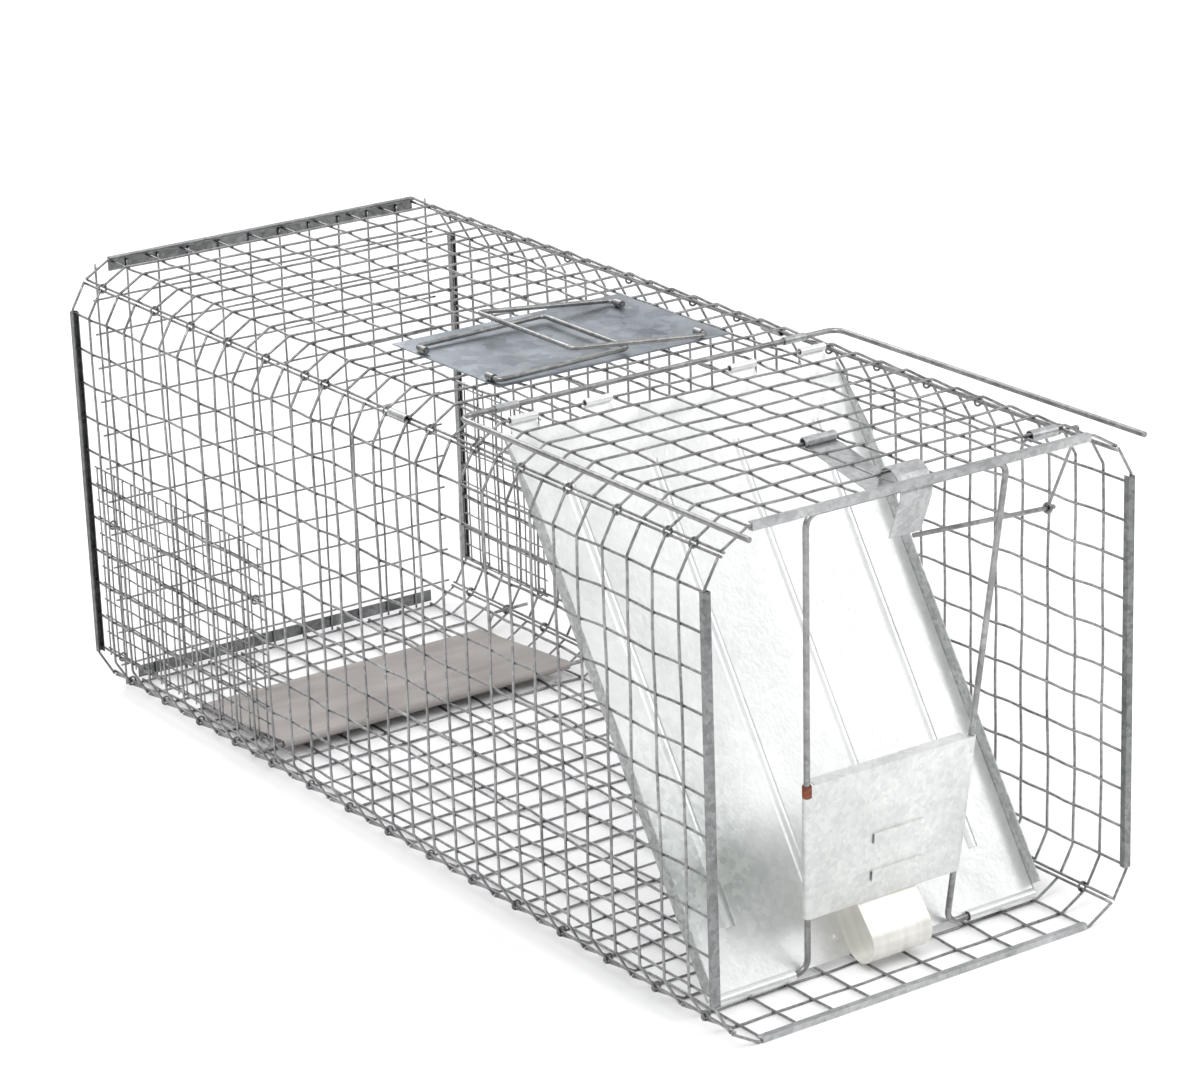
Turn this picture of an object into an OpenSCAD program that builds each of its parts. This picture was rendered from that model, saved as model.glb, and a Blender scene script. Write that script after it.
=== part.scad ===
// Live catch trap: a welded wire cage with one sloping door, shown sprung and locked.
// Millimetres. +Z up, the door faces -Y, the origin is under the middle of the whole part.

/* [Cage] */
// Outside width over the wires of the side walls
cage_width = 324; // [270:1:392]
// Outside height over the wires of floor and top
cage_height = 326; // [271:1:392]
// Spacing of the mesh along the cage
mesh_pitch = 25.4; // [22:0.1:27]
// Number of mesh cells along the cage
cells_long = 30; // [26:1:36]
// Wanted spacing of the lengthwise wires of top and floor
cross_pitch_wanted = 28.2; // [24:0.1:32]
// Diameter of the mesh wire
wire_dia = 1.6; // [1.3:0.05:1.9]
// Length of the slanting end of each bent mesh wire at the seams
corner_slant = 23; // [19:0.5:26]
// How far the right wall's lengthwise wires sit below the left wall's
right_wire_drop = 2.8; // [0:0.1:10]
// Diameter of the wire in a ring clip
ring_wire = 1.4; // [1.1:0.1:1.5]

/* [Sheet parts] */
// Thickness of the folded edge strips
strip_sheet = 0.7; // [0.5:0.05:0.8]
// How far the strips reach over the mesh
strip_reach = 4.5; // [3:0.1:6]
// Thickness of the door sheet
door_sheet = 0.8; // [0.6:0.05:1]
// Height of the door's side flanges
door_flange = 10; // [8:0.5:12]
// Cells between the front edge and the door hinge
hinge_cell = 10; // [9:1:11]
// Setback of the door's bottom rolls from the front edge
roll_setback = 49; // [42:1:56]
// Thickness of the lock plate sheet
plate_sheet = 0.7; // [0.5:0.05:0.8]
// Thickness of the leaf spring
spring_sheet = 0.6; // [0.4:0.05:0.8]
// Width of the leaf spring
spring_width = 46; // [36:1:48]
// Width of the latch
latch_width = 24; // [20:0.5:25]
// Length of the handle guard plate along the cage
guard_length = 127; // [120:1:140]
// Width of the handle guard plate
guard_width = 182; // [176:1:200]
// Depth of the treadle from its hinge to its rear edge
treadle_depth = 120; // [100:1:140]

/* [Rods] */
// Diameter of the lock frame rod
lock_dia = 4; // [3.4:0.1:4.4]
// Half width of the lock frame at its crossbar
lock_top_half = 76; // [66:1:84]
// Half width of the lock frame at its foot
lock_foot_half = 55; // [48:1:62]
// Setback of the lock frame's crossbar from the front edge
crossbar_setback = 16; // [14:0.5:18]
// Diameter of the top frame rod
frame_dia = 3.6; // [3:0.1:4]
// How far the top frame's arms stand out past the front edge
frame_overhang = 26; // [20:1:34]
// Diameter of the carrying bails
bail_dia = 3.4; // [3:0.1:3.8]
// Reach of the outer bail from its pivot to its grip
outer_bail_reach = 108; // [100:1:112]
// Reach of the inner bail from its pivot to its grip
inner_bail_reach = 101; // [94:1:104]
// Diameter of the trip rod
trip_dia = 3; // [2.5:0.1:3.4]

/* [Hidden] */

zinc = [0.72, 0.73, 0.74];
sheet_zinc = [0.80, 0.81, 0.81];
dark_zinc = [0.55, 0.58, 0.62];
door_white = [0.90, 0.91, 0.90];
rust_red = [0.48, 0.25, 0.18];
treadle_grey = [0.66, 0.63, 0.61];

round_fn = 36;
touch = 0.05;
fit = 0.1;
wire_r = wire_dia / 2;
lean = 30;
bend_r = 5;
bend_seat = 0.2;
bend_swell = 0.02;
cross_z = wire_dia + touch;
corner_run = corner_slant * (sin(lean) + cos(lean));
wall_x = cage_width / 2 - wire_r;
top_z = cage_height - wire_r;
floor_z = wire_r;
wall_flat = top_z - floor_z - 2 * corner_run;
top_flat = 2 * wall_x - 2 * corner_run;
mid_z = (top_z + floor_z) / 2;
run = cells_long * mesh_pitch;
rear_depth = 3.25;
front_y = -run / 2 + (frame_overhang - rear_depth) / 2;
rear_y = front_y + run;
seam_x = wall_x - corner_slant * sin(lean);
seam_top_z = top_z - corner_slant * sin(lean);
seam_low_z = floor_z + corner_slant * sin(lean);

end_gap = 0.9;
edge_back = 1.9;
side_inset = 2.9;
cross_span = top_flat - 2 * side_inset;
cross_cells = 2 * floor(cross_span / cross_pitch_wanted / 2) + 1;
cross_pitch = cross_span / cross_cells;
kink_room = 2.2;
rows = floor((wall_flat - 2 * kink_room - right_wire_drop) / mesh_pitch);
left_row_z = mid_z - rows * mesh_pitch / 2 + right_wire_drop / 2;
right_row_z = left_row_z - right_wire_drop;

ring_in = 2.3;
ring_r = ring_in + ring_wire / 2;
seam_in = 2.086 / sqrt(2);
ring_lift = wire_r + ring_wire / 2 + 0.2;
left_top_rings = [1, 2, 4, 6, 8, 10, 12, 14, 17, 18, 20, 22, 24, 26, 29];
right_top_rings = [2, 5, 7, 9, 11, 15, 17, 20, 23, 26, 29];
low_rings = [1, 3, 5, 7, 9, 11, 13, 15, 17, 19, 21, 23, 25, 27, 29];
left_ferrule_cell = 13.5;
right_ferrule_cell = 13.5;
ferrule_length = 20;

gap_out = wire_r + fit;
gap_in = cross_z + wire_r + fit;
strip_out = gap_out + strip_sheet;
strip_in = gap_in + strip_sheet;

roll_out = 3.6;
roll_in = roll_out - door_sheet;
knuckle_out = 2.6;
knuckle_in = knuckle_out - door_sheet;
hinge_y = front_y + hinge_cell * mesh_pitch;
hinge_z = top_z;
roll_y = front_y + roll_setback;
roll_z = floor_z + cross_z + wire_r + roll_out + 0.5;
door_lean = atan2(hinge_y - roll_y, hinge_z - roll_z);
door_length = norm([hinge_y - roll_y, hinge_z - roll_z]);
door_half = top_flat / 2;
sheet_y = knuckle_out - door_sheet;
roll_end = door_half - 4;
roll_gap = 11;
tab_width = 20;

crossbar_y = front_y + crossbar_setback;
crossbar_z = top_z - 9.2;
lock_lean = atan2(roll_y - crossbar_y, crossbar_z - roll_z);
lock_length = norm([roll_y - crossbar_y, crossbar_z - roll_z]);
lock_bend = 8;
lock_r = lock_dia / 2;
lock_tail = 118 / 129.8 * door_half;
leg_turn = atan2(lock_top_half - lock_foot_half, lock_length);
plate_low = lock_length * 0.122;
plate_high = lock_length * 0.42;
plate_roll_in = lock_r + fit;
plate_roll_out = plate_roll_in + plate_sheet + 0.2;
band_length = 7;

latch_y = front_y + 4 * mesh_pitch;
latch_sheet = 0.8;
latch_out = 3.2;

trip_r = trip_dia / 2;
hanger_r = 1;
hanger_y = front_y + mesh_pitch + 2;
hanger_z = top_z - 3.6;
trip_drop = 63.5;
hanger_tilt = 22.8;
eye_r = trip_r + 0.15 + hanger_r + fit;

frame_y = front_y + 273;
frame_z = top_z + wire_r + frame_dia / 2 + fit;
frame_half = seam_x - 1.7;

plate_z = top_z + wire_r + touch;
guard_sheet = 0.9;
guard_y = front_y + 377.5;
bail_r = bail_dia / 2;
loop_in = bail_r + 0.15;
loop_out = loop_in + 0.8;
bail_z = plate_z + guard_sheet + loop_out + 0.02;
bail_y = guard_y - 10;
loop_length = 7;
stub = 14;
outer_half = 55;
inner_half = outer_half - bail_dia - 2.1;
outer_x = 72;
inner_x = -88;
outer_rise = 6.4;
inner_rise = 1;

pivot_y = front_y + 566;
pivot_z = 11;
pivot_r = 1.5;
treadle_half = door_half - 8;
treadle_roll_out = 3.2;
treadle_sheet = 1;
treadle_roll_in = treadle_roll_out - treadle_sheet;
treadle_low = floor_z + cross_z + wire_r + 0.15;
treadle_fall = asin((pivot_z + treadle_roll_in - treadle_low) / treadle_depth);
trigger_r = 1.2;
trigger_y = front_y + 26.5 * mesh_pitch;

guard_wire = 1.2;
guard_step = mesh_pitch / 2;
guard_x = wall_x - cross_z - wire_r - touch - guard_wire / 2;
guard_cross_x = guard_x - guard_wire - touch;
guard_low = floor_z + corner_run + 1;
guard_high = floor_z + wall_flat * 0.68;

function cell_y(k) = front_y + k * mesh_pitch;
function unit(v) = v / norm(v);
function heading(v) = atan2(v[1], v[0]);
function turn(u, v) = atan2(u[0] * v[1] - u[1] * v[0], u[0] * v[0] + u[1] * v[1]);
function trim(p, i, r) = i == 0 || i == len(p) - 1 ? 0
    : r * tan(abs(turn(p[i] - p[i - 1], p[i + 1] - p[i])) / 2);

// A round rod along points in the XY plane, with every inner corner bent to radius r.
// The bends are a hair fatter than the straights, which reach a little way into them.
module rod_path(p, d, r) {
    for (i = [0 : len(p) - 2]) {
        u = unit(p[i + 1] - p[i]);
        a = p[i] + u * max(0, trim(p, i, r) - bend_seat);
        b = p[i + 1] - u * max(0, trim(p, i + 1, r) - bend_seat);
        translate([a[0], a[1], 0]) rotate([0, 0, heading(u)]) rotate([0, 90, 0])
            cylinder(d = d, h = norm(b - a), $fn = round_fn);
    }
    for (i = [1 : 1 : len(p) - 2]) {
        u = unit(p[i] - p[i - 1]);
        v = unit(p[i + 1] - p[i]);
        t = turn(u, v);
        side = t > 0 ? 1 : -1;
        centre = p[i] - u * trim(p, i, r) + [-u[1], u[0]] * r * side;
        start = t > 0 ? heading(u) - 90 : heading(v) + 90;
        translate([centre[0], centre[1], 0]) rotate([0, 0, start])
            rotate_extrude(angle = abs(t), $fn = 96) translate([r, 0])
                circle(d = d + 2 * bend_swell, $fn = round_fn);
    }
}

// A straight round bar along X, along Y or along Z, from its start point
module bar_x(x0, x1, d) { translate([x0, 0, 0]) rotate([0, 90, 0]) cylinder(d = d, h = x1 - x0, $fn = round_fn); }
module bar_y(y0, y1, d) { translate([0, y0, 0]) rotate([-90, 0, 0]) cylinder(d = d, h = y1 - y0, $fn = round_fn); }
module bar_z(z0, z1, d) { translate([0, 0, z0]) cylinder(d = d, h = z1 - z0, $fn = round_fn); }
module tube_x(x0, x1, outer, inner) {
    difference() {
        bar_x(x0, x1, 2 * outer);
        bar_x(x0 - 1, x1 + 1, 2 * inner);
    }
}
module box(low, high) { translate(low) cube(high - low); }

// Extrudes an outline drawn in (y, z) from x0 to x1
module slab_x(x0, x1) { translate([x0, 0, 0]) rotate([90, 0, 90]) linear_extrude(height = x1 - x0) children(); }

// One panel of bent cross wires on the outside and straight lengthwise wires inside.
// It is drawn flat: cross wires along X, lengthwise wires along Y, outside facing up.
module bent_panel(flat, lengthwise) {
    slant = corner_slant - end_gap;
    ends = [flat / 2 + slant * cos(lean), -slant * sin(lean)];
    for (k = [0 : cells_long]) translate([0, cell_y(k), 0]) rotate([90, 0, 0])
        rod_path([[-ends[0], ends[1]], [-flat / 2, 0], [flat / 2, 0], ends], wire_dia, bend_r);
    for (x = lengthwise) translate([x, 0, -cross_z]) bar_y(front_y - wire_r, rear_y + wire_r, wire_dia);
    back = corner_slant - edge_back;
    for (s = [-1, 1])
        translate([s * (flat / 2 + back * cos(lean) - cross_z * sin(lean)), 0,
            -back * sin(lean) - cross_z * cos(lean)])
            bar_y(front_y - wire_r, rear_y + wire_r, wire_dia);
}

function wall_rows(z0) = [for (j = [0 : rows]) z0 + j * mesh_pitch - mid_z];
function cross_rows() = [for (j = [0 : cross_cells]) (j - cross_cells / 2) * cross_pitch];

module left_wall_mesh() {
    color(zinc) translate([-wall_x, 0, mid_z]) rotate([0, -90, 0]) bent_panel(wall_flat, wall_rows(left_row_z));
}
module right_wall_mesh() {
    color(zinc) mirror([1, 0, 0]) translate([-wall_x, 0, mid_z]) rotate([0, -90, 0])
        bent_panel(wall_flat, wall_rows(right_row_z));
}
module top_mesh() { color(zinc) translate([0, 0, top_z]) bent_panel(top_flat, cross_rows()); }
module floor_mesh() { color(zinc) translate([0, 0, floor_z]) mirror([0, 0, 1]) bent_panel(top_flat, cross_rows()); }

rear_half = seam_x - 5.7;
rear_row_z = seam_low_z + 5.7;
rear_cols = floor((2 * rear_half - 4) / mesh_pitch);
rear_rows = floor((seam_top_z - seam_low_z - 11.4) / mesh_pitch);
module rear_mesh() {
    color(zinc) {
        for (i = [0 : rear_cols]) translate([(i - rear_cols / 2) * mesh_pitch, rear_y + cross_z, 0])
            bar_z(floor_z + wire_r, top_z - wire_r - 1, wire_dia);
        for (j = [0 : rear_rows]) translate([0, rear_y, rear_row_z + j * mesh_pitch])
            bar_x(-rear_half, rear_half, wire_dia);
    }
}

// A patch of finer mesh inside a side wall, drawn on the left
module guard_patch(first, z0) {
    y0 = cell_y(first) - 5;
    y1 = cell_y(cells_long - 0.5) + 5;
    for (k = [first : cells_long - 0.5]) translate([-guard_x, cell_y(k), 0])
        bar_z(guard_low, guard_high, guard_wire);
    for (z = [z0 : guard_step : guard_high]) translate([-guard_cross_x, 0, z]) bar_y(y0, y1, guard_wire);
}
left_guard_first = cells_long - 9.5;
right_guard_first = cells_long - 4.5;
function guard_row(z0) = z0 > guard_low + guard_wire ? z0 : z0 + mesh_pitch;
module left_guard_mesh() { color(zinc) guard_patch(left_guard_first, guard_row(left_row_z)); }
module right_guard_mesh() { color(zinc) mirror([1, 0, 0]) guard_patch(right_guard_first, guard_row(right_row_z)); }

module guard_ring(first, z0) {
    middle = (wall_x - cross_z + guard_cross_x) / 2;
    radius = (wall_x - cross_z - guard_cross_x) / 2 + wire_r + ring_wire / 2 + fit;
    for (k = [first, cells_long - 1.5], j = [0, 4])
        translate([-middle, cell_y(k) + mesh_pitch / 4, z0 + j * mesh_pitch]) rotate([90, 0, 0])
            rotate_extrude($fn = 48) translate([radius, 0]) circle(d = ring_wire, $fn = round_fn);
}
module guard_rings() {
    color(sheet_zinc) {
        guard_ring(left_guard_first, guard_row(left_row_z));
        mirror([1, 0, 0]) guard_ring(right_guard_first, guard_row(right_row_z));
    }
}

// A folded strip over a straight run of edge wire: it lies along X, its web faces -Y
// and its outer flange is on top
module edge_strip(half) {
    box([-half, -strip_out, -strip_in], [half, -gap_out, strip_out]);
    box([-half, -strip_out, gap_out], [half, strip_reach - strip_out, strip_out]);
    box([-half, -strip_out, -strip_in], [half, strip_reach - strip_out, -gap_in]);
}
module front_left_channel() {
    color(sheet_zinc) translate([-wall_x, front_y, mid_z]) rotate([0, -90, 0]) edge_strip(wall_flat / 2 - 1);
}
module front_right_channel() {
    color(sheet_zinc) translate([wall_x, front_y, mid_z]) rotate([0, 90, 0]) edge_strip(wall_flat / 2 - 1);
}
module rear_left_channel() {
    color(sheet_zinc) translate([-wall_x, rear_y, mid_z]) mirror([0, 1, 0]) rotate([0, -90, 0])
        edge_strip(wall_flat / 2 - 1);
}
module rear_right_channel() {
    color(sheet_zinc) translate([wall_x, rear_y, mid_z]) mirror([0, 1, 0]) rotate([0, 90, 0])
        edge_strip(wall_flat / 2 - 1);
}
module top_front_strip() { color(sheet_zinc) translate([0, front_y, top_z]) edge_strip(top_flat / 2 - 2.5); }
module floor_front_strip() {
    half = top_flat / 2 - 2.5;
    over = floor_z + gap_in;
    color(sheet_zinc) translate([0, front_y, 0]) {
        box([-half, -strip_out, 0], [half, -gap_out, over + strip_sheet]);
        box([-half, -strip_out, over], [half, strip_reach - strip_out, over + strip_sheet]);
    }
}
strip_rear_y = rear_y + cross_z + wire_r + fit;
module rear_top_strip() {
    half = top_flat / 2 - 1;
    rise = top_z + gap_out;
    color(dark_zinc) {
        box([-half, strip_rear_y, rise - 10], [half, strip_rear_y + strip_sheet, rise + strip_sheet]);
        box([-half, rear_y - 2, rise], [half, strip_rear_y + strip_sheet, rise + strip_sheet]);
    }
}
module rear_bottom_strip() {
    half = top_flat / 2 - 1;
    color(dark_zinc) box([-half, strip_rear_y, floor_z + 3], [half, strip_rear_y + strip_sheet, floor_z + 12]);
}

// Ring clips round the two edge wires of a seam, at the listed cells
module seam_ring_row(x, z, cells) {
    for (k = cells) if (k < cells_long) translate([x, cell_y(k) + ring_lift, z]) rotate([90, 0, 0])
        rotate_extrude($fn = 48) translate([ring_r, 0]) circle(d = ring_wire, $fn = round_fn);
}
seam_mid_x = seam_x - seam_in;
module seam_rings() {
    color(sheet_zinc) {
        seam_ring_row(-seam_mid_x, seam_top_z - seam_in, left_top_rings);
        seam_ring_row(seam_mid_x, seam_top_z - seam_in, right_top_rings);
        for (s = [-1, 1]) seam_ring_row(s * seam_mid_x, seam_low_z + seam_in, low_rings);
    }
}
module seam_ferrules() {
    color(sheet_zinc) for (f = [[-1, left_ferrule_cell], [1, right_ferrule_cell]])
        translate([f[0] * seam_mid_x, cell_y(f[1]), seam_top_z - seam_in]) difference() {
            bar_y(-ferrule_length / 2, ferrule_length / 2, 2 * (ring_in + strip_sheet));
            bar_y(-ferrule_length, ferrule_length, 2 * ring_in);
        }
}

// The rod frame that lies along both top seams and turns in two sleeves
module top_frame() {
    reach = front_y - frame_overhang;
    color(zinc) translate([0, 0, frame_z])
        rod_path([[-frame_half, reach], [-frame_half, frame_y], [frame_half, frame_y], [frame_half, reach]],
            frame_dia, 9);
}
sleeve_cell = (cross_cells - 1) / 2;
module frame_sleeves() {
    width = 17;
    bore = frame_dia / 2 + fit;
    wall = 0.8;
    foot = [cell_y(11), top_z];
    foot_bore = wire_r + fit;
    head = [frame_y, frame_z];
    color(door_white) for (s = [-1, 1])
        translate([s * sleeve_cell * cross_pitch, 0, 0]) slab_x(-width / 2, width / 2) difference() {
            union() {
                translate(head) circle(r = bore + wall, $fn = 64);
                translate(foot) circle(r = foot_bore + wall, $fn = 64);
                polygon([head + [0, bore], head + [0, bore + wall - touch], foot + [0, foot_bore + wall - touch],
                    foot + [0, foot_bore]]);
            }
            translate(head) circle(r = bore, $fn = 64);
            translate(foot) circle(r = foot_bore, $fn = 64);
        }
}

module handle_plate() {
    color(dark_zinc) box([-guard_width / 2, guard_y - guard_length / 2, plate_z],
        [guard_width / 2, guard_y + guard_length / 2, plate_z + guard_sheet]);
}
// A carrying bail: pivot stubs turned inwards, legs along +X, the grip at the far end
module bail(half, reach) {
    rod_path([[0, -half + stub], [0, -half], [reach, -half], [reach, half], [0, half],
        [0, half - stub]], bail_dia, bend_r);
}
module outer_bail() {
    color(zinc) translate([outer_x, bail_y, bail_z]) rotate([0, outer_rise, 0]) mirror([1, 0, 0])
        bail(outer_half, outer_bail_reach);
}
module inner_bail() {
    color(zinc) translate([inner_x, bail_y, bail_z]) rotate([0, -inner_rise, 0]) bail(inner_half, inner_bail_reach);
}
module bail_loops() {
    color(dark_zinc) for (b = [[outer_x, outer_half], [inner_x, inner_half]], s = [-1, 1])
        translate([b[0], bail_y + s * (b[1] - 9.5), bail_z]) difference() {
            bar_y(-loop_length / 2, loop_length / 2, 2 * loop_out);
            bar_y(-loop_length, loop_length, 2 * loop_in);
        }
}

// Places a child drawn with its foot on the roll axis and leaning back towards the hinge
module on_door() { translate([0, roll_y, roll_z]) rotate([-door_lean, 0, 0]) children(); }
// Places a child drawn with its foot on the roll axis and leaning forward to the crossbar
module on_lock() { translate([0, roll_y, roll_z]) rotate([lock_lean, 0, 0]) children(); }

rib_x = [0.246, 0.739];
module rib(x) {
    rise = 1.4;
    curve = 5.8;
    translate([x, 0, 0]) intersection() {
        translate([0, sheet_y - rise + curve, 0]) bar_z(40, door_length - 45, 2 * curve);
        box([-curve, sheet_y - 2 * rise, 0], [curve, sheet_y + door_sheet / 2, door_length]);
    }
}
tab_x = [for (s = [-1, 1], c = [sleeve_cell - 2, sleeve_cell]) s * c * cross_pitch];
left_roll = [-roll_end, -lock_foot_half - roll_gap];
right_roll = [lock_foot_half + roll_gap + 6, roll_end];
module door_panel() {
    far = sheet_y + door_sheet;
    color(door_white) on_door() {
        difference() {
            union() {
                box([-door_half, sheet_y, 1], [door_half, far, door_length - 8]);
                for (x = tab_x) {
                    box([x - tab_width / 2, sheet_y, door_length - 9], [x + tab_width / 2, far, door_length]);
                    translate([0, 0, door_length]) bar_x(x - tab_width / 2, x + tab_width / 2, 2 * knuckle_out);
                }
                for (r = [left_roll, right_roll]) bar_x(r[0], r[1], 2 * roll_out);
                for (s = [-1, 1], f = rib_x) rib(s * f * door_half);
                for (s = [0, 1]) slab_x(s * (2 * door_half - door_sheet) - door_half,
                    s * (2 * door_half - door_sheet) - door_half + door_sheet)
                    polygon([[far, 6], [far - door_flange, 6], [far - door_flange, door_length - 60],
                        [far - 1.6, door_length - 12], [far, door_length - 12]]);
                translate([-spring_width / 2 - 2, sheet_y - 2.4, 14]) rotate([-90, 0, 0])
                    cylinder(d = 5, h = 3, $fn = round_fn);
            }
            for (x = tab_x) translate([0, 0, door_length])
                bar_x(x - tab_width / 2 - 1, x + tab_width / 2 + 1, 2 * knuckle_in);
            for (r = [left_roll, right_roll]) bar_x(r[0] - 1, r[1] + 1, 2 * roll_in);
        }
    }
}

// Points along a run of straights and arcs: each step is [length, turn, radius]
function arc_points(p, h, t, r) = let (s = t > 0 ? 1 : -1, c = p + s * r * [-sin(h), cos(h)],
    n = max(2, ceil(abs(t) / 7))) [for (i = [1 : n]) c + s * r * [sin(h + t * i / n), -cos(h + t * i / n)]];
function run_points(p, h, steps, i = 0) = i == len(steps) ? []
    : let (q = p + steps[i][0] * [cos(h), sin(h)],
        bend = steps[i][1] == 0 ? [] : arc_points(q, h, steps[i][1], steps[i][2]),
        last = steps[i][1] == 0 ? q : bend[len(bend) - 1])
    concat([q], bend, run_points(last, h + steps[i][1], steps, i + 1));
function mitre(p, i) = i == 0 ? [-unit(p[1] - p[0])[1], unit(p[1] - p[0])[0]]
    : i == len(p) - 1 ? [-unit(p[i] - p[i - 1])[1], unit(p[i] - p[i - 1])[0]]
    : let (u = unit(p[i] - p[i - 1]), v = unit(p[i + 1] - p[i]), m = unit([-u[1] - v[1], u[0] + v[0]]))
        m / (m * [-u[1], u[0]]);
// A bent strip of sheet seen edge on, t thick, along the points p
module strip_outline(p, t) {
    polygon(concat([for (i = [0 : len(p) - 1]) p[i] + mitre(p, i) * t / 2],
        [for (i = [len(p) - 1 : -1 : 0]) p[i] - mitre(p, i) * t / 2]));
}

spring_start = [sheet_y - spring_sheet / 2 - touch, 62];
spring_exit = 50;
module leaf_spring() {
    steps = [[56, spring_exit + door_lean - 270, 14], [19, 40 + lock_lean, 5], [30, 0, 0]];
    path = concat([spring_start], run_points(spring_start, 270, steps));
    color(door_white) on_door() slab_x(3 - spring_width / 2, 3 + spring_width / 2)
        strip_outline(path, spring_sheet);
}

function leg_x(s) = lock_foot_half + (lock_top_half - lock_foot_half) * s / lock_length;
module lock_rod() {
    color(dark_zinc) on_lock() rotate([90, 0, 0])
        rod_path([[-lock_tail, 0], [-lock_foot_half, 0], [-lock_top_half, lock_length],
            [lock_top_half, lock_length], [lock_foot_half, 0], [lock_tail, 0]], lock_dia, lock_bend);
}
// Places a child on a leg of the lock frame at the distance s from its foot, along the leg
module on_leg(side, s) { translate([side * leg_x(s), 0, s]) rotate([0, side * leg_turn, 0]) children(); }
louvre_x = [-12, 27];
module lock_plate() {
    tall = plate_high - plate_low;
    front = -(plate_roll_out - touch);
    back = front + plate_sheet;
    color(sheet_zinc) on_lock() difference() {
        union() {
            translate([0, back, 0]) rotate([90, 0, 0]) linear_extrude(height = plate_sheet)
                polygon([[-leg_x(plate_low), plate_low], [leg_x(plate_low), plate_low],
                    [leg_x(plate_high), plate_high], [-leg_x(plate_high), plate_high]]);
            on_leg(-1, plate_low) bar_z(0, tall - band_length - 1, 2 * plate_roll_out);
            on_leg(1, plate_low) bar_z(0, tall, 2 * plate_roll_out);
            box([4.5 - leg_x(plate_high), front, plate_high - plate_sheet],
                [leg_x(plate_high) - 4.5, 6, plate_high]);
            for (f = [0.14, 0.42])
                box([louvre_x[0], front - 1.7, plate_low + f * tall], [louvre_x[1], back, plate_low + f * tall + 8]);
        }
        for (side = [-1, 1]) on_leg(side, plate_low - 5) bar_z(0, tall + 10, 2 * plate_roll_in);
        for (f = [0.14, 0.42]) box([louvre_x[0] - 1, front - 1.1, plate_low + f * tall + 1],
            [louvre_x[1] + 1, back - plate_sheet / 2, plate_low + f * tall + 7]);
        on_leg(-1, plate_high - band_length - 1) bar_z(0, band_length + 3, 2 * plate_roll_out + 1);
    }
}
module leg_band() {
    color(rust_red) on_lock() on_leg(-1, plate_high - band_length - 0.5) difference() {
        bar_z(0, band_length, 2 * (plate_roll_out));
        bar_z(-1, band_length + 1, 2 * plate_roll_in);
    }
}

// The latch hangs on the fourth cross wire, runs down under the top and hooks over the crossbar
module latch() {
    path = [[0, -2.8], [-8, -3.6], [-62, -14.8], [-67, -14.9], [-70.4, -12.6], [-72, -8.5], [-73.4, -1.5],
        [-75.6, 2.6], [-79.5, 4.4], [-84, 4.1], [-89, 1], [-92.4, -4], [-93.4, -9], [-92.6, -14], [-82.1, -39.2]];
    color(sheet_zinc) translate([0, latch_y, top_z]) difference() {
        union() {
            slab_x(-latch_width / 2, latch_width / 2) strip_outline(path, latch_sheet);
            bar_x(-latch_width / 2, latch_width / 2, 2 * latch_out);
        }
        bar_x(-latch_width, latch_width, 2 * (latch_out - latch_sheet));
    }
}

trip_cell_x = sleeve_cell * cross_pitch;
module trip_sleeve() {
    apart = norm([hanger_y - cell_y(1), hanger_z - top_z]);
    bore = (apart + wire_r + hanger_r) / 2 + fit;
    slide = (apart / 2 + hanger_r + fit - bore) / apart;
    middle = [cell_y(1), top_z] + ([hanger_y, hanger_z] - [cell_y(1), top_z]) * (0.5 + slide);
    color(door_white) translate([0, middle[0], middle[1]])
        tube_x(trip_cell_x - 10, trip_cell_x + 10, bore + strip_sheet, bore);
}
hang_x = seam_x - 6.7;
eye_x = hang_x - 3.5;
eye = [eye_x, hanger_y + trip_drop * sin(hanger_tilt), hanger_z - trip_drop * cos(hanger_tilt)];
free_end = [8, front_y + 21, top_z - 42.2];
trip_run = eye - free_end;
// Places a child drawn along X at the eye, in line with the trip rod
module on_trip() {
    translate(eye) rotate([0, 0, heading(trip_run)])
        rotate([0, -atan2(trip_run[2], norm([trip_run[0], trip_run[1]])), 0]) children();
}
module trip_hanger() {
    color(zinc) {
        translate([0, hanger_y, hanger_z]) rotate([90 + hanger_tilt, 0, 0])
            rod_path([[trip_cell_x - 13.5, -12.5], [trip_cell_x - 13.5, 0], [hang_x, 0],
                [eye_x, -trip_drop + eye_r]], 2 * hanger_r, 3);
        on_trip() rotate([0, 90, 0]) rotate_extrude($fn = 48)
            translate([eye_r, 0]) circle(r = hanger_r + fit, $fn = round_fn);
    }
}
module trip_rod() {
    color(dark_zinc) on_trip() bar_x(-norm(trip_run), 6.5, trip_dia);
}

module treadle_pivot() { color(zinc) translate([0, pivot_y, pivot_z]) bar_x(4.2 - seam_x, seam_x - 4.2, 2 * pivot_r); }
module treadle() {
    color(treadle_grey) translate([0, pivot_y, pivot_z]) rotate([-treadle_fall, 0, 0]) difference() {
        union() {
            box([-treadle_half, 0, treadle_roll_in], [treadle_half, treadle_depth, treadle_roll_out - touch]);
            bar_x(-treadle_half, treadle_half, 2 * treadle_roll_out);
        }
        bar_x(-treadle_half - 1, treadle_half + 1, 2 * treadle_roll_in);
    }
}
module trigger_wire() {
    side = treadle_half + trigger_r + 0.2;
    color(zinc) translate([0, trigger_y, 0]) rotate([90, 0, 0])
        rod_path([[side, 4.6], [side, 20], [wall_x - cross_z - wire_r - 1, 20]], 2 * trigger_r, 8);
}

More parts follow.
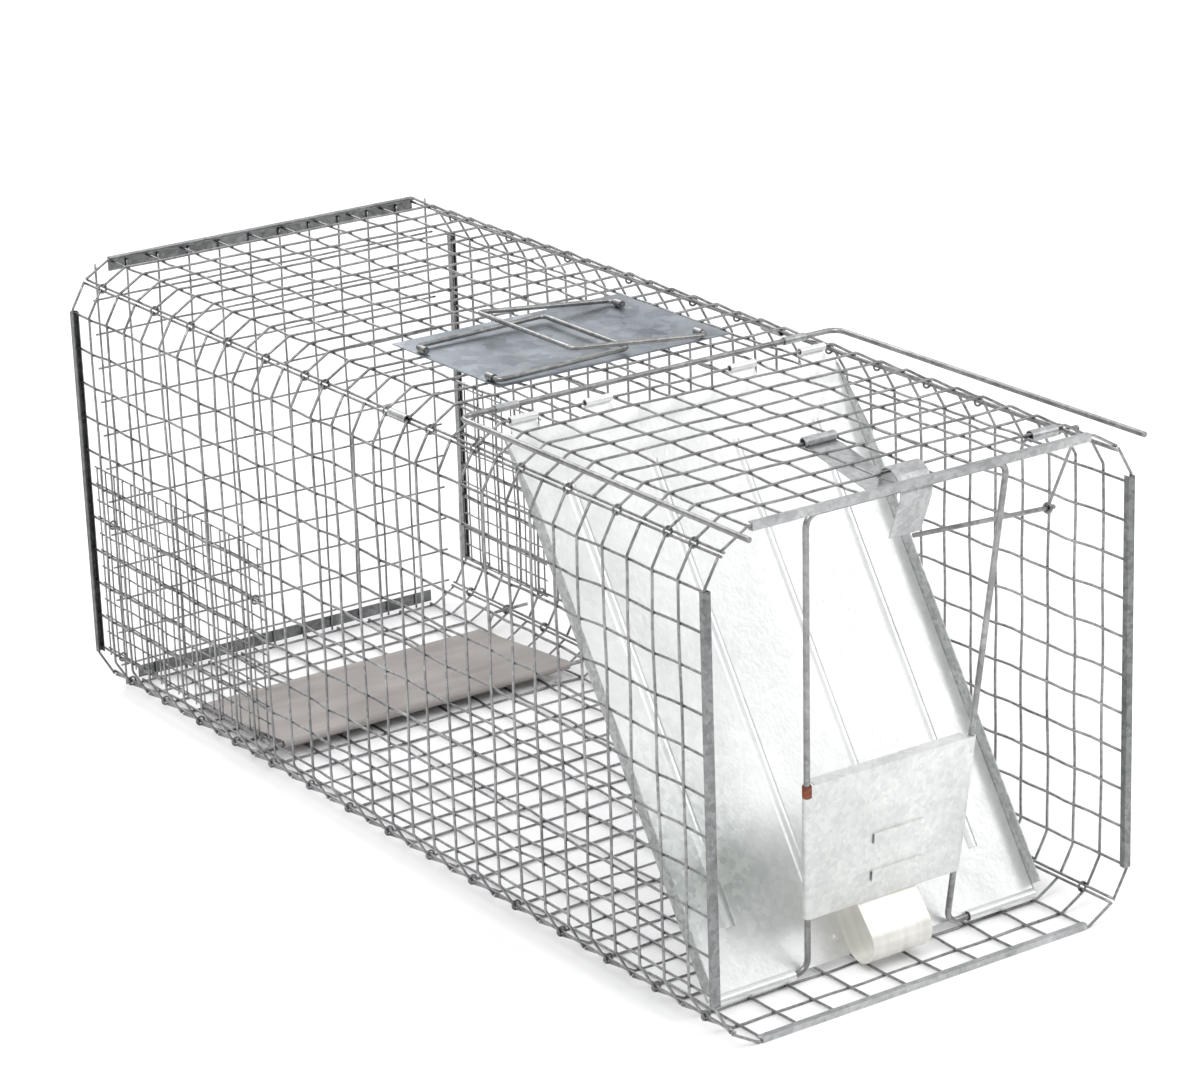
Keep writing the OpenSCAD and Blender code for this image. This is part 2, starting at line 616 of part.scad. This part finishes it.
left_wall_mesh();
right_wall_mesh();
top_mesh();
floor_mesh();
rear_mesh();
left_guard_mesh();
right_guard_mesh();
front_left_channel();
front_right_channel();
rear_left_channel();
rear_right_channel();
top_front_strip();
floor_front_strip();
rear_top_strip();
rear_bottom_strip();
seam_rings();
guard_rings();
seam_ferrules();
frame_sleeves();
top_frame();
handle_plate();
bail_loops();
outer_bail();
inner_bail();
door_panel();
leaf_spring();
lock_rod();
lock_plate();
leg_band();
latch();
trip_sleeve();
trip_hanger();
trip_rod();
treadle_pivot();
treadle();
trigger_wire();
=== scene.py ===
import math

import bpy
import numpy as np
from mathutils import Matrix, Vector


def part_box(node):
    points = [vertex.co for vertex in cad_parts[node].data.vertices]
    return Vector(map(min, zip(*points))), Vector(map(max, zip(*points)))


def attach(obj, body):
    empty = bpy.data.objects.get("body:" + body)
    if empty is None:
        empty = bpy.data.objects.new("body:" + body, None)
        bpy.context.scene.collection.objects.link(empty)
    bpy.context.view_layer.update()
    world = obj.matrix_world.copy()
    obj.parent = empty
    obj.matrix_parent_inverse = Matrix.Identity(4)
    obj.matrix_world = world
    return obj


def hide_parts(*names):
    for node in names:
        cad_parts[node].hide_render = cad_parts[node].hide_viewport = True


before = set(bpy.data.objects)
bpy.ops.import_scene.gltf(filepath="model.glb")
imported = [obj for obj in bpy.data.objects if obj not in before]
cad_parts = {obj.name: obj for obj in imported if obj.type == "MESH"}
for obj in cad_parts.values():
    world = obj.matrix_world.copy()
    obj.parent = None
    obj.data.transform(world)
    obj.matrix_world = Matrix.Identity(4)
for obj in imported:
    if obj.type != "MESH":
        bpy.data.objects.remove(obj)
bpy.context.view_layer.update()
print("frame loaded")


class Sock:
    # one output socket of a finish; arithmetic on it adds Math nodes
    def __init__(self, recipe, out):
        self.recipe, self.out = recipe, out

    def math(self, operation, *values):
        return self.recipe.add("ShaderNodeMath", {"operation": operation}, dict(enumerate(values)))

    def __add__(self, other): return self.math("ADD", self, other)
    def __radd__(self, other): return self.math("ADD", other, self)
    def __sub__(self, other): return self.math("SUBTRACT", self, other)
    def __rsub__(self, other): return self.math("SUBTRACT", other, self)
    def __mul__(self, other): return self.math("MULTIPLY", self, other)
    def __rmul__(self, other): return self.math("MULTIPLY", other, self)


class Recipe:
    def __init__(self, name):
        self.material = bpy.data.materials.new(name)
        self.material.use_nodes = True
        self.tree = self.material.node_tree
        self.tree.nodes.clear()
        self.shader = self.tree.nodes.new("ShaderNodeBsdfPrincipled")
        output = self.tree.nodes.new("ShaderNodeOutputMaterial")
        self.tree.links.new(self.shader.outputs[0], output.inputs["Surface"])
        self.place = self.add("ShaderNodeTexCoord", {}, {}, "Object")

    def fill(self, socket, value):
        if isinstance(value, Sock):
            self.tree.links.new(value.out, socket)
        else:
            socket.default_value = value

    def add(self, kind, settings, inputs, output=0):
        # settings go in first; "stops" are a ramp's (position, colour) pairs
        made = self.tree.nodes.new(kind)
        for key, value in settings.items():
            if key == "stops":
                ramp = made.color_ramp
                while len(ramp.elements) < len(value):
                    ramp.elements.new(0.5)
                for element, (position, colour) in zip(ramp.elements, value):
                    element.position, element.color = position, (*colour, 1)
            else:
                setattr(made, key, value)
        for key, value in inputs.items():
            self.fill(made.inputs[key], value)
        return Sock(self, made.outputs[output])

    def noise(self, scale, detail=3, stretch=(1, 1, 1), offset=(0, 0, 0)):
        where = self.add("ShaderNodeMapping", {},
                         {"Vector": self.place, "Scale": stretch, "Location": offset})
        return self.add("ShaderNodeTexNoise", {}, {"Vector": where, "Scale": scale, "Detail": detail})

    def flakes(self, scale):
        # zinc crystals: one random grey for each Voronoi cell, its edges bent by noise
        bend = self.add("ShaderNodeTexNoise", {}, {"Vector": self.place, "Scale": scale * 1.5}, "Color")
        where = self.add("ShaderNodeVectorMath", {"operation": "MULTIPLY_ADD"},
                         {0: bend, 1: (0.6 / scale,) * 3, 2: self.place})
        cells = self.add("ShaderNodeTexVoronoi", {}, {"Vector": where, "Scale": scale}, "Color")
        return self.add("ShaderNodeSeparateColor", {}, {"Color": cells}, "Red")

    def axis(self, name):
        return self.add("ShaderNodeSeparateXYZ", {}, {"Vector": self.place}, name)

    def fade(self, value, ends):
        # rises from 0 at the first end to 1 at the second
        return self.add("ShaderNodeMapRange", {}, {"Value": value, "From Min": ends[0], "From Max": ends[1]})

    def ramp(self, factor, stops):
        return self.add("ShaderNodeValToRGB", {"stops": stops}, {"Fac": factor})

    def mix(self, factor, first, second):
        return self.add("ShaderNodeMix", {"data_type": "RGBA"}, {0: factor, 6: first, 7: second}, 2)

    def bump(self, height, strength, distance):
        return self.add("ShaderNodeBump", {},
                        {"Height": height, "Strength": strength, "Distance": distance})

    def finish(self, **sockets):
        # named after the shader's sockets, with _ for a space
        for name, value in sockets.items():
            self.fill(self.shader.inputs[name.replace("_", " ")], value)
        return self.material


zincs = {
    # darkest and lightest grey, crystals to the metre, range of roughness, and height of the relief;
    # streak stretches the tarnish along the piece
    "wireZinc": {"dark": (0.12, 0.12, 0.123), "light": (0.42, 0.42, 0.425), "flake": 300,
                 "rough": (0.2, 0.4), "relief": 0.25, "metallic": 0.95},
    "weldZinc": {"dark": (0.03, 0.03, 0.032), "light": (0.20, 0.20, 0.205), "flake": 500,
                 "rough": (0.4, 0.6), "relief": 0.4, "metallic": 0.85},
    "rodZinc": {"dark": (0.15, 0.15, 0.148), "light": (0.44, 0.445, 0.435), "flake": 260,
                "rough": (0.22, 0.42), "relief": 0.3, "metallic": 0.95},
    "clipZinc": {"dark": (0.05, 0.05, 0.052), "light": (0.36, 0.37, 0.37), "flake": 400,
                 "rough": (0.3, 0.5), "relief": 0.3, "metallic": 0.9},
    "stripZinc": {"dark": (0.28, 0.29, 0.29), "light": (0.6, 0.61, 0.61), "flake": 320,
                  "rough": (0.3, 0.5), "relief": 0.35, "metallic": 0.9},
    # the same zinc strip as stripZinc, painted darker as shade on the corner channels and rear strips
    "shadedEdgeZinc": {"dark": (0.07, 0.072, 0.072), "light": (0.34, 0.35, 0.35), "flake": 320,
                 "rough": (0.28, 0.5), "relief": 0.35, "metallic": 0.95, "streak": (1, 1, 0.2)},
    "plateZinc": {"dark": (0.56, 0.57, 0.56), "light": (0.84, 0.85, 0.835), "flake": 330,
                  "rough": (0.36, 0.6), "relief": 0.35, "metallic": 0.7},
    "guardZinc": {"dark": (0.12, 0.14, 0.165), "light": (0.44, 0.475, 0.51), "flake": 90,
                  "rough": (0.25, 0.5), "relief": 0.4, "metallic": 0.9, "streak": (1, 0.35, 1)},
}


def zincFinish(name, dark, light, flake, rough, relief, metallic, streak=(1, 1, 1)):
    # galvanised steel: crystals, a cloudy tarnish over them and fine pitting
    r = Recipe(name)
    cloud = r.noise(28, 5, streak)
    speck = r.noise(420, 2)
    tone = r.flakes(flake) * 0.22 + cloud * 0.75 + speck * 0.2 - 0.08
    middle = tuple((a + b) / 2 for a, b in zip(dark, light))
    colour = r.ramp(tone, [(0.2, dark), (0.5, middle), (0.78, light)])
    worn = r.noise(60, 3, streak, (3, 1, 2)) * 0.7 + speck * 0.3
    return r.finish(Base_Color=colour, Roughness=rough[0] + (rough[1] - rough[0]) * worn,
                    Metallic=metallic, Normal=r.bump(speck * 0.4 + cloud * 0.6, relief, 0.0006))


door = {
    "clean": [(0.3, (0.70, 0.712, 0.703)), (0.62, (0.805, 0.815, 0.808))],
    # colours of a painted dark reflection on the door
    "paintedReflection": [(0.3, (0.26, 0.295, 0.28)), (0.7, (0.54, 0.58, 0.55))],
    # colours of painted shade on the side flanges
    "flange": [(0.3, (0.22, 0.23, 0.225)), (0.7, (0.42, 0.44, 0.425))],
    "reflectionTop": (0.19, 0.125),     # heights where the painted reflection begins and is full
    "reflectionFoot": (0.035, 0.085),   # and where it clears again at the foot
    "reflectionSide": (0.0, -0.07),     # from the middle to the left
    "reflectionAmount": 0.8,
    "flangeFrom": 0.1285,         # half the width between the side flanges
    "flangeAmount": 0.8,
    "metallic": 0.75,
    "rough": 0.2,
    "relief": 0.3,
}


def doorFinish():
    # bright sheet, with a painted dark greenish reflection where it sweeps down to the left foot, and
    # painted shade on the side flanges
    r = Recipe("doorZinc")
    cloud = r.noise(16, 5, (1.2, 1, 0.5))
    speck = r.noise(380, 2)
    clean = r.ramp(r.flakes(240) * 0.15 + cloud * 0.85, door["clean"])
    paintedReflection = r.ramp(r.flakes(240) * 0.3 + cloud * 0.7, door["paintedReflection"])
    flange = r.ramp(r.flakes(300) * 0.4 + speck * 0.6, door["flange"])
    across, height = r.axis("X"), r.axis("Z")
    # painted reflection: a dark greenish band, low and on the left of the door, mixed over the clean face
    low = r.fade(height + cloud * 0.09, door["reflectionTop"])
    foot = r.fade(height + cloud * 0.05, door["reflectionFoot"])
    left = r.fade(across + cloud * 0.06, door["reflectionSide"])
    # painted shade: both side flanges, past flangeFrom, darker than the face
    edge = across.math("GREATER_THAN", across.math("ABSOLUTE", across), door["flangeFrom"])
    face = r.mix(low * foot * left * door["reflectionAmount"], clean, paintedReflection)
    return r.finish(Base_Color=r.mix(edge * door["flangeAmount"], face, flange),
                    Metallic=door["metallic"], Roughness=door["rough"] + cloud * 0.22 + speck * 0.06,
                    Normal=r.bump(cloud * 0.8 + speck * 0.2, door["relief"], 0.002))


treadle = {
    "colours": [(0.3, (0.25, 0.225, 0.21)), (0.7, (0.46, 0.43, 0.41))],
    "metallic": 0.55,
    "rough": 0.42,
    "relief": 0.3,
}


def treadleFinish():
    # warm grey sheet with long scuffs along it
    r = Recipe("treadleSheet")
    cloud = r.noise(12, 5)
    scuff = r.noise(40, 4, (0.15, 1.6, 1))
    speck = r.noise(500, 2)
    return r.finish(Base_Color=r.ramp(cloud * 0.55 + scuff * 0.45, treadle["colours"]),
                    Metallic=treadle["metallic"], Roughness=treadle["rough"] + scuff * 0.25,
                    Normal=r.bump(scuff * 0.6 + speck * 0.4, treadle["relief"], 0.0006))


spring = {
    "colours": [(0.32, (0.66, 0.65, 0.60)), (0.6, (0.90, 0.89, 0.84))],
    "metallic": 0.35,
    "rough": 0.26,
    "relief": 0.15,
}


def springFinish():
    # cream white spring strip with faint rolling lines and handling marks
    r = Recipe("springWhite")
    line = r.noise(220, 3, (1, 0.05, 0.05))
    smear = r.noise(24, 4)
    return r.finish(Base_Color=r.ramp(smear * 0.7 + line * 0.3, spring["colours"]),
                    Metallic=spring["metallic"], Roughness=spring["rough"] + smear * 0.2,
                    Normal=r.bump(line, spring["relief"], 0.0004))


rust = {
    "colours": [(0.3, (0.07, 0.022, 0.012)), (0.55, (0.27, 0.08, 0.04)), (0.75, (0.42, 0.19, 0.10))],
    "metallic": 0.1,
    "rough": 0.7,
    "relief": 0.7,
}


def rustFinish():
    # reddish brown rust, pitted and uneven
    r = Recipe("rustBand")
    crust = r.noise(520, 6)
    patch = r.noise(150, 4)
    return r.finish(Base_Color=r.ramp(crust * 0.5 + patch * 0.5, rust["colours"]),
                    Metallic=rust["metallic"], Roughness=rust["rough"] + crust * 0.25,
                    Normal=r.bump(crust, rust["relief"], 0.0008))


finishes = {name: zincFinish(name, **look) for name, look in zincs.items()}
finishes.update(doorZinc=doorFinish(), treadleSheet=treadleFinish(), springWhite=springFinish(),
                rustBand=rustFinish())
nodeFinish = {
    "stripZinc": ["top_front_strip", "floor_front_strip", "latch", "frame_sleeves", "trip_sleeve",
                  "seam_ferrules"],
    # painted shade: these channels and rear strips take the darker zinc
    "shadedEdgeZinc": ["front_left_channel", "front_right_channel", "rear_left_channel", "rear_right_channel",
                 "rear_top_strip", "rear_bottom_strip"],
    "clipZinc": ["seam_rings", "guard_rings"],
    "rodZinc": ["top_frame", "bail_loops", "outer_bail", "inner_bail", "lock_rod", "trip_hanger",
                "trip_rod", "treadle_pivot", "trigger_wire"],
    "plateZinc": ["lock_plate"],
    "guardZinc": ["handle_plate"],
    "doorZinc": ["door_panel"],
    "treadleSheet": ["treadle"],
    "springWhite": ["leaf_spring"],
    "rustBand": ["leg_band"],
}
for finish, names in nodeFinish.items():
    for name in names:
        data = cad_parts[name].data
        data.materials.clear()
        data.materials.append(finishes[finish])
print("materials made")

mesh = {
    "wireDia": 0.0016,
    "gap": 0.00005,       # left between crossing wires
    "lean": 30,           # degrees, the slanting ends of the bent wires
    "slant": 0.0221,      # their length
    "slantInset": 0.001,  # from that end to the lengthwise wire on it
    "kinkRadius": 0.004,
    "cells": 30,
    "sides": 8,           # corners of a wire's section
    "thick": 0.00182,     # drawn diameter, with the zinc coat
    "waver": 0.0007,      # how far the wires wander
    "calmEnd": 0.004,     # no wander this near the panel's edge
    "calmFade": 0.03,     # and full wander this much further in
    "weld": 0.0012,       # radius of a weld spot
    "weldSquash": 0.9,    # its height over its width
    "guardWeld": 1.3,     # weld spot over wire radius on the flat panels
    "flatPoints": 32,     # points along the flat of a bent wire
    "kinkPoints": 5,      # in the arc of a kink
    "slantPoints": 3,     # along a slanting end
    "rowPoints": 91,      # along a lengthwise wire
    "gridPoints": 61,     # along a wire of a flat panel
}
wireRadius = mesh["wireDia"] / 2
drawnRadius = mesh["thick"] / 2
step = mesh["wireDia"] + mesh["gap"]      # from one layer of wires to the next
lean = math.radians(mesh["lean"])


def wander(points, low, high):
    # a smooth drift of the whole panel, sums of two sines of the coordinates, faded out near its edges
    x, y, z = points[..., 0], points[..., 1], points[..., 2]
    fade = np.ones(x.shape)
    for axis in range(3):
        if high[axis] - low[axis] > 2 * mesh["calmFade"]:
            edge = np.minimum(points[..., axis] - low[axis], high[axis] - points[..., axis])
            fade = fade * np.clip((edge - mesh["calmEnd"]) / mesh["calmFade"], 0, 1)
    drift = np.stack([
        np.sin(y * 61 + z * 23) * 0.6 + np.sin(y * 143 + x * 37 + 1.3) * 0.4,
        np.sin(z * 71 + x * 67 + 0.7) * 0.7 + np.sin(x * 131 + y * 29) * 0.5,
        np.sin(y * 83 + x * 19 + 2.1) * 0.6 + np.sin(y * 167 + 0.4) * 0.4,
    ], axis=-1)
    return points + drift * (fade * mesh["waver"])[..., None]


def tubes(lines, radius, sides):
    # circles carried along each line: centre + radius * (cos a * side + sin a * across), closed by end
    # caps. lines is wires x points x 3; across is x, or y for wires that don't run along y, made square
    # to the wire.
    count, length = lines.shape[:2]
    along = np.gradient(lines, axis=1)
    along /= np.linalg.norm(along, axis=-1, keepdims=True)
    chord = lines[:, -1] - lines[:, 0]
    guess = np.where(np.abs(chord[:, 1:2]) > np.abs(chord[:, :1]) + np.abs(chord[:, 2:3]),
                     [[1.0, 0, 0]], [[0, 1.0, 0]])
    across = guess[:, None] - (guess[:, None] * along).sum(-1, keepdims=True) * along
    across /= np.linalg.norm(across, axis=-1, keepdims=True)
    side = np.cross(across, along)
    angle = np.linspace(0, 2 * np.pi, sides, endpoint=False)
    ring = lines[:, :, None] + radius * (np.cos(angle)[:, None] * side[:, :, None]
                                         + np.sin(angle)[:, None] * across[:, :, None])
    verts = ring.reshape(-1, 3)
    wire, point, corner = np.meshgrid(np.arange(count), np.arange(length - 1), np.arange(sides),
                                      indexing="ij")
    following = (corner + 1) % sides
    base = (wire * length + point) * sides
    quads = np.stack([base + corner, base + following,
                      base + sides + following, base + sides + corner], -1)
    caps = np.arange(sides)[None] + np.arange(count)[:, None] * length * sides
    return verts, quads.reshape(-1, 4), np.concatenate([caps[:, ::-1], caps + (length - 1) * sides])


def beads(centres, radii, rows=4, columns=7, pole=0.02):
    # squashed spheres: centre + radii * (sin u cos v, sin u sin v, cos u), u from pole to pi - pole, and
    # a small cap on either end
    u = np.linspace(pole, np.pi - pole, rows)
    v = np.linspace(0, 2 * np.pi, columns, endpoint=False)
    ball = np.stack([np.outer(np.sin(u), np.cos(v)), np.outer(np.sin(u), np.sin(v)),
                     np.outer(np.cos(u), np.ones(columns))], -1).reshape(1, -1, 3)
    verts = (centres[:, None] + ball * radii).reshape(-1, 3)
    row, column = np.meshgrid(np.arange(rows - 1), np.arange(columns), indexing="ij")
    following = (column + 1) % columns
    quad = np.stack([row * columns + column, (row + 1) * columns + column,
                     (row + 1) * columns + following, row * columns + following], -1).reshape(1, -1, 4)
    start = np.arange(len(centres))[:, None, None] * rows * columns
    ends = np.arange(columns)[None] + start[:, :, 0]
    caps = np.concatenate([ends[:, ::-1], ends + (rows - 1) * columns])
    return verts, (quad + start).reshape(-1, 4), caps


def addPiece(name, shapes, materials):
    # shapes are (points, quads, caps), the last one in the second material; one mesh, whole-array writes
    points, loops, sizes, slots, used = [], [], [], [], 0
    for order, (verts, quads, caps) in enumerate(shapes):
        points.append(verts)
        slots.append(np.full(len(quads) + len(caps), int(order == len(shapes) - 1)))
        for faces in (quads, caps):
            loops.append((faces + used).ravel())
            sizes.append(np.full(len(faces), faces.shape[1]))
        used += len(verts)
    points, loops, sizes = np.concatenate(points), np.concatenate(loops), np.concatenate(sizes)
    data = bpy.data.meshes.new(name)
    data.vertices.add(len(points))
    data.vertices.foreach_set("co", points.astype(np.float32).ravel())
    data.loops.add(len(loops))
    data.loops.foreach_set("vertex_index", loops.astype(np.int32))
    data.polygons.add(len(sizes))
    data.polygons.foreach_set("loop_start", (np.cumsum(sizes) - sizes).astype(np.int32))
    data.polygons.foreach_set("use_smooth", sizes == 4)
    data.polygons.foreach_set("material_index", np.concatenate(slots).astype(np.int32))
    data.update(calc_edges=True)
    for material in materials:
        data.materials.append(material)
    piece = bpy.data.objects.new(name, data)
    bpy.context.scene.collection.objects.link(piece)
    return piece


def bentProfile(flat):
    # (along, out) of half a bent wire, then mirrored: the flat, an arc at the kink with
    # along = start + radius * sin a and out = radius * (cos a - 1), and the straight slanting end
    radius = mesh["kinkRadius"]
    cut = radius * math.tan(lean / 2)
    turn = np.linspace(0, lean, mesh["kinkPoints"])
    arc = np.stack([flat / 2 - cut + radius * np.sin(turn), radius * (np.cos(turn) - 1)], -1)
    run = np.linspace(cut, mesh["slant"], mesh["slantPoints"] + 1)[1:]
    end = np.stack([flat / 2 + run * math.cos(lean), -run * math.sin(lean)], -1)
    half = np.concatenate([arc, end])
    count = mesh["flatPoints"]
    level = np.linspace(-flat / 2 + cut, flat / 2 - cut, count + 2)[1:-1]
    middle = np.stack([level, np.zeros(count)], -1)
    return np.concatenate([half[::-1] * [-1, 1], middle, half])


panels = {
    # which way is outside, the first lengthwise wire in from the end of the flat, their pitch (None
    # spreads them evenly) and their number
    "left_wall_mesh": {"outside": (-1, 0, 0), "first": 0.0052, "pitch": 0.0254, "wires": 11},
    "right_wall_mesh": {"outside": (1, 0, 0), "first": 0.0024, "pitch": 0.0254, "wires": 11},
    "top_mesh": {"outside": (0, 0, 1), "first": 0.0029, "pitch": None, "wires": 10},
    "floor_mesh": {"outside": (0, 0, -1), "first": 0.0029, "pitch": None, "wires": 10},
}
for node, panel in panels.items():
    low, high = (np.array(corner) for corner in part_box(node))
    out = np.array(panel["outside"], float)
    depth = int(np.argmax(np.abs(out)))
    width = 2 - depth                      # the axis that the bent wires run along, x or z
    middle = (low + high) / 2
    reach = (high - low)[width] / 2
    flat = 2 * (reach - mesh["slant"] * math.cos(lean) - wireRadius * math.sin(lean))
    face = (high if out[depth] > 0 else low)[depth] - out[depth] * wireRadius
    cellY = np.linspace(low[1] + wireRadius, high[1] - wireRadius, mesh["cells"] + 1)
    profile = bentProfile(flat)
    bent = np.zeros((len(cellY), len(profile), 3))
    bent[:, :, 1] = cellY[:, None]
    bent[:, :, width] = middle[width] + profile[:, 0]
    bent[:, :, depth] = face + out[depth] * profile[:, 1]
    pitch = panel["pitch"] or (flat - 2 * panel["first"]) / (panel["wires"] - 1)
    across = middle[width] - flat / 2 + panel["first"] + pitch * np.arange(panel["wires"])
    back = mesh["slant"] - mesh["slantInset"]
    slantEnd = [flat / 2 + back * math.cos(lean) - step * math.sin(lean),
                -back * math.sin(lean) - step * math.cos(lean)]
    rowPlace = np.concatenate([across, middle[width] + np.array([-1, 1]) * slantEnd[0]])
    rowDepth = np.concatenate([np.full(len(across), -step), [slantEnd[1]] * 2])
    straight = np.zeros((len(rowPlace), mesh["rowPoints"], 3))
    straight[:, :, 1] = np.linspace(low[1], high[1], mesh["rowPoints"])
    straight[:, :, width] = rowPlace[:, None]
    straight[:, :, depth] = (face + out[depth] * rowDepth)[:, None]
    spots = np.zeros((len(cellY), len(across), 3))
    spots[:, :, 1] = cellY[:, None]
    spots[:, :, width] = across
    spots[:, :, depth] = face - out[depth] * step / 2
    radii = np.full(3, mesh["weld"])
    radii[depth] *= mesh["weldSquash"]
    piece = addPiece(node.replace("_mesh", "_wires"), [
        tubes(wander(bent, low, high), drawnRadius, mesh["sides"]),
        tubes(wander(straight, low, high), drawnRadius, mesh["sides"]),
        beads(wander(spots.reshape(-1, 3), low, high), radii),
    ], (finishes["wireZinc"], finishes["weldZinc"]))
    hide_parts(node)
    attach(piece, "cage")
print("wall, top and floor wires made")

grids = {
    # the axis square to the panel, which way along it is outside, the axes that the outer and the inner
    # wires run along, their pitch and their diameter
    "rear_mesh": {"axis": 1, "outside": 1, "outer": 2, "inner": 0, "pitch": 0.0254, "dia": 0.0016},
    "left_guard_mesh": {"axis": 0, "outside": -1, "outer": 2, "inner": 1, "pitch": 0.0127, "dia": 0.0012},
    "right_guard_mesh": {"axis": 0, "outside": 1, "outer": 2, "inner": 1, "pitch": 0.0127, "dia": 0.0012},
}
for node, grid in grids.items():
    verts = np.zeros(len(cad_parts[node].data.vertices) * 3, np.float32)
    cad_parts[node].data.vertices.foreach_get("co", verts)
    verts = verts.reshape(-1, 3).astype(float)
    low, high = verts.min(0), verts.max(0)
    shapes, wirePlaces, radius = [], [], grid["dia"] / 2
    for sign, run, other in ((grid["outside"], grid["outer"], grid["inner"]),
                             (-grid["outside"], grid["inner"], grid["outer"])):
        layer = (high if sign > 0 else low)[grid["axis"]] - sign * radius
        ends = verts[np.abs(verts[:, grid["axis"]] - layer) < radius * 1.01]   # this layer's vertices
        start, stop = ends.min(0), ends.max(0)
        count = int(round((stop[other] - start[other] - grid["dia"]) / grid["pitch"])) + 1
        places = np.linspace(start[other] + radius, stop[other] - radius, count)
        line = np.zeros((count, mesh["gridPoints"], 3))
        line[:, :, run] = np.linspace(start[run], stop[run], mesh["gridPoints"])
        line[:, :, other] = places[:, None]
        line[:, :, grid["axis"]] = layer
        wirePlaces.append(places)
        shapes.append(tubes(wander(line, low, high), radius, mesh["sides"]))
    spots = np.zeros((len(wirePlaces[0]), len(wirePlaces[1]), 3))
    spots[:, :, grid["inner"]] = wirePlaces[0][:, None]
    spots[:, :, grid["outer"]] = wirePlaces[1]
    spots[:, :, grid["axis"]] = (low + high)[grid["axis"]] / 2
    radii = np.full(3, radius * mesh["guardWeld"])
    shapes.append(beads(wander(spots.reshape(-1, 3), low, high), radii))
    piece = addPiece(node.replace("_mesh", "_wires"), shapes, (finishes["wireZinc"], finishes["weldZinc"]))
    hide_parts(node)
    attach(piece, "cage")
print("rear and guard wires made")

studio = {
    "floorSize": 16.0,
    "floorGrey": [(0.2, (0.90, 0.90, 0.90)), (0.8, (0.94, 0.94, 0.94))],
    "floorRough": 0.9,
    "aim": (0, 0, 0.15),                  # where the lamps point
    "sky": [(0.05, 0.22), (0.55, 1.0)],   # height and grey, near the horizon and overhead
    "skyStrength": 1.15,
    "lamps": {
        "keyLamp": {"place": (-1.6, -1.2, 2.4), "size": 1.6, "power": 32},
        "sideLamp": {"place": (2.4, -1.6, 1.5), "size": 1.2, "power": 15},
        "backLamp": {"place": (0.6, 2.6, 2.2), "size": 1.6, "power": 20},
    },
}


def floorFinish():
    # near white, with a very faint cloud
    r = Recipe("paleFloor")
    cloud = r.noise(1.5, 3)
    return r.finish(Base_Color=r.ramp(cloud, studio["floorGrey"]), Roughness=studio["floorRough"])


half = studio["floorSize"] / 2
data = bpy.data.meshes.new("paleFloor")
data.from_pydata([(-half, -half, 0), (half, -half, 0), (half, half, 0), (-half, half, 0)], [],
                 [(0, 1, 2, 3)])
data.materials.append(floorFinish())
ground = bpy.data.objects.new("paleFloor", data)
bpy.context.scene.collection.objects.link(ground)

world = bpy.data.worlds.new("studioWorld")
bpy.context.scene.world = world
world.use_nodes = True
sky = world.node_tree
place = sky.nodes.new("ShaderNodeTexCoord")
split = sky.nodes.new("ShaderNodeSeparateXYZ")
ramp = sky.nodes.new("ShaderNodeValToRGB")
sky.links.new(place.outputs["Generated"], split.inputs[0])
sky.links.new(split.outputs["Z"], ramp.inputs["Fac"])
for element, (height, grey) in zip(ramp.color_ramp.elements, studio["sky"]):
    element.position, element.color = height, (grey, grey, grey * 1.01, 1)
sky.links.new(ramp.outputs["Color"], sky.nodes["Background"].inputs[0])
sky.nodes["Background"].inputs[1].default_value = studio["skyStrength"]
for name, lamp in studio["lamps"].items():
    light = bpy.data.lights.new(name, "AREA")
    light.size, light.energy = lamp["size"], lamp["power"]
    holder = bpy.data.objects.new(name, light)
    holder.location = lamp["place"]
    beam = Vector(studio["aim"]) - Vector(lamp["place"])
    holder.rotation_euler = beam.to_track_quat("-Z", "Y").to_euler()
    bpy.context.scene.collection.objects.link(holder)
bpy.context.scene.view_settings.view_transform = "Standard"

eye = {
    "place": (-1.4060, -2.0956, 1.0680),
    "look": (0.5313, 0.7806, -0.3292),
    "roll": 1.96,         # degrees
    "lens": 120.08,
    "sensor": 36.0,
    "clip": (0.05, 60),
}
look = Vector(eye["look"]).normalized()
right = look.cross(Vector((0, 0, 1))).normalized()
upward = right.cross(look)
roll = math.radians(eye["roll"])
turnedRight = right * math.cos(roll) - upward * math.sin(roll)
turnedUp = upward * math.cos(roll) + right * math.sin(roll)
lens = bpy.data.cameras.new("studioCamera")
lens.lens, lens.sensor_width, lens.sensor_fit = eye["lens"], eye["sensor"], "HORIZONTAL"
lens.clip_start, lens.clip_end = eye["clip"]
camera = bpy.data.objects.new("studioCamera", lens)
camera.matrix_world = Matrix((
    (turnedRight.x, turnedUp.x, -look.x, eye["place"][0]),
    (turnedRight.y, turnedUp.y, -look.y, eye["place"][1]),
    (turnedRight.z, turnedUp.z, -look.z, eye["place"][2]),
    (0, 0, 0, 1)))
bpy.context.scene.collection.objects.link(camera)
bpy.context.scene.camera = camera
print("studio set up")
